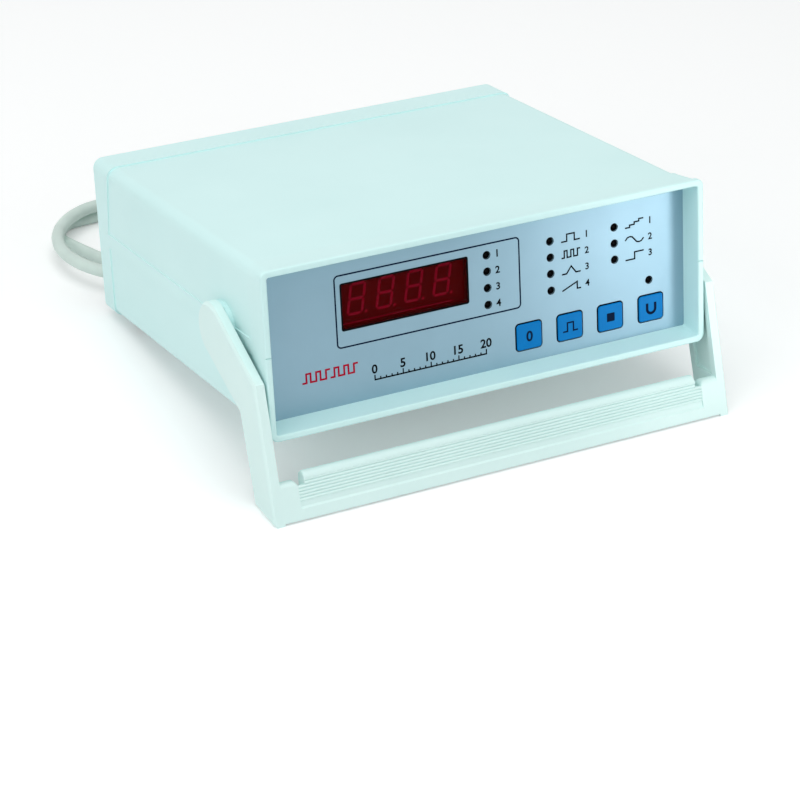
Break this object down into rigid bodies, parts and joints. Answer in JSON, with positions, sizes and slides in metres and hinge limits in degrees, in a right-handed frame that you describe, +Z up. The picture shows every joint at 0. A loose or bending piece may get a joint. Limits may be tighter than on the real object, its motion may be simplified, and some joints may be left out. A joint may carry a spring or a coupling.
{
  "type": "electronic timer",
  "caption": "Bench timer in a two-shell plastic case, leant back on a swinging bail, with a red digital display, indicator lamps, push keys, rear sockets and a mains cord.",
  "frame": {"origin": "on the floor under the middle of the timer's box, its cord left out", "axes": "+X to the right of the panel as seen from the front, +Y from the panel to the rear, +Z up; the case leans back by 8.7 degrees on its bail"},
  "size_m": [0.226, 0.3047, 0.1063],
  "materials": {
    "case_plastic": "fine moulded grain, off-white",
    "bail_plastic": "fine moulded grain, off-white",
    "panel_film": "printed film, satin blue-grey",
    "panel_plate": "moulded, satin grey",
    "window_red": "clear dark red filter, polished",
    "digit_face": "dark face with pale segments, unlit",
    "lamp_dark": "unlit dark red epoxy",
    "key_blue": "moulded, satin blue",
    "black_plastic": "moulded, satin black",
    "red_plastic": "moulded, glossy red",
    "circuit_board": "glass-fibre laminate with green mask",
    "steel": "bright zinc plate",
    "core_steel": "stacked laminations, varnished",
    "copper_winding": "taped copper winding",
    "aluminium": "extruded, bare",
    "rear_metal": "sheet, brushed and clear anodised",
    "ribbon_grey": "flat cable, grey",
    "foot_rubber": "matt black rubber",
    "cord_vinyl": "soft vinyl sheath, off-white",
    "brass": "bare, stamped"
  },
  "bodies": {
    "case": {"upper_shell": "case_plastic", "lower_shell": "case_plastic", "rubber_feet": "foot_rubber", "case_screws": "steel", "front_panel": "panel_plate", "panel_overlay": "panel_film", "display_window": "window_red", "digit_modules": "digit_face", "indicator_lamps": "lamp_dark", "key_switches": "black_plastic", "display_board": "circuit_board", "display_board_screws": "steel", "driver_chips": "black_plastic", "main_board": "circuit_board", "main_board_screws": "steel", "control_chip": "black_plastic", "crystal": "steel", "capacitors": "black_plastic", "heat_sink": "aluminium", "voltage_regulator": "black_plastic", "bridge_rectifier": "black_plastic", "ribbon_headers": "black_plastic", "ribbon_cable": "ribbon_grey", "transformer_core": "core_steel", "transformer_coil": "copper_winding", "transformer_bracket": "steel", "transformer_screws": "steel", "rear_panel": "rear_metal", "power_switch": "black_plastic", "fuse_holder": "black_plastic", "jack_nuts": "steel", "magnet_post_nuts": "steel", "mains_wires": "ribbon_grey", "sensor_jack_1": "black_plastic", "sensor_jack_2": "black_plastic", "magnet_post_black": "black_plastic", "magnet_post_red": "red_plastic", "strain_relief": "cord_vinyl", "cord_lead": "cord_vinyl", "cord_coil": "cord_vinyl", "plug_body": "cord_vinyl", "plug_blades": "brass"},
    "bail": {"bail_arm_left": "bail_plastic", "bail_arm_right": "bail_plastic", "bail_bar": "bail_plastic", "bail_screws": "steel", "pivot_washer_left": "steel", "pivot_washer_right": "steel", "pivot_screw_left": "steel", "pivot_screw_right": "steel"},
    "key_1": {"key_1": "key_blue"},
    "key_2": {"key_2": "key_blue"},
    "key_3": {"key_3": "key_blue"},
    "key_4": {"key_4": "key_blue"},
    "power_rocker": {"power_rocker": "black_plastic"}
  },
  "joints": [
    {"name": "bail_hinge", "type": "hinge", "parent": "case", "child": "bail", "pos_m": [0, -0.0431, 0.06189], "axis": [1, 0, 0], "range_deg": [-194, 93]},
    {"name": "key_1_push", "type": "slide", "parent": "case", "child": "key_1", "axis": [0, 0.9885, -0.1513], "range_m": [0, 0.0005], "stiffness_N_per_m": 1200},
    {"name": "key_2_push", "type": "slide", "parent": "case", "child": "key_2", "axis": [0, 0.9885, -0.1513], "range_m": [0, 0.0005], "stiffness_N_per_m": 1200},
    {"name": "key_3_push", "type": "slide", "parent": "case", "child": "key_3", "axis": [0, 0.9885, -0.1513], "range_m": [0, 0.0005], "stiffness_N_per_m": 1200},
    {"name": "key_4_push", "type": "slide", "parent": "case", "child": "key_4", "axis": [0, 0.9885, -0.1513], "range_m": [0, 0.0005], "stiffness_N_per_m": 1200},
    {"name": "rocker_tilt", "type": "hinge", "parent": "case", "child": "power_rocker", "pos_m": [0.062, 0.09808, 0.05435], "axis": [1, 0, 0], "range_deg": [-14, 0]}
  ]
}
